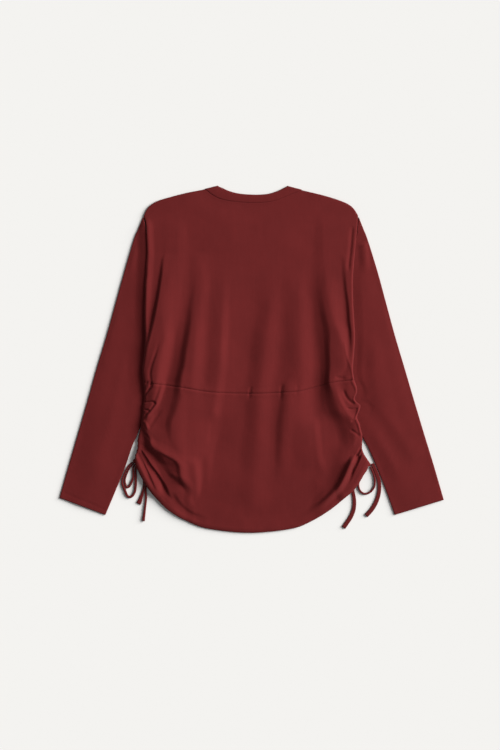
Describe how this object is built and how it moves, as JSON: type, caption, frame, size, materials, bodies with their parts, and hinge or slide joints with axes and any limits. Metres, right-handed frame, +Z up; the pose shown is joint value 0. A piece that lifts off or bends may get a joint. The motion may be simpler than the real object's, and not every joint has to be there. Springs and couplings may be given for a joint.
{
  "type": "long-sleeve t-shirt",
  "caption": "Drop-shoulder long-sleeve jersey t-shirt laid flat, back up, with a seamed back, gathered sides, curved hem and a drawcord bow at each hem corner.",
  "frame": {"origin": "on the surface the garment lies on, under the middle of the cloth's bounding box", "axes": "+Z up from the surface, out of the garment's back; +Y along the garment from hem to neck; +X across it towards the sleeve on the right as seen from above"},
  "size_m": [0.7684, 0.6942, 0.0199],
  "materials": {
    "body_jersey": "matt burgundy cotton jersey with a faint soft sheen",
    "neckband_jersey": "matt burgundy jersey, doubled",
    "drawcord_jersey": "matt burgundy jersey strap"
  },
  "bodies": {
    "root": {"front_body": "body_jersey", "back_upper": "body_jersey", "back_lower": "body_jersey", "sleeve_left": "body_jersey", "sleeve_right": "body_jersey", "neckband": "neckband_jersey", "knot_left": "drawcord_jersey", "knot_right": "drawcord_jersey", "cord_left_outer_loop": "drawcord_jersey", "cord_left_inner_loop": "drawcord_jersey", "cord_left_tail_1": "drawcord_jersey", "cord_left_tail_2": "drawcord_jersey", "cord_right_loop": "drawcord_jersey", "cord_right_tail_1": "drawcord_jersey", "cord_right_tail_2": "drawcord_jersey"}
  },
  "joints": []
}
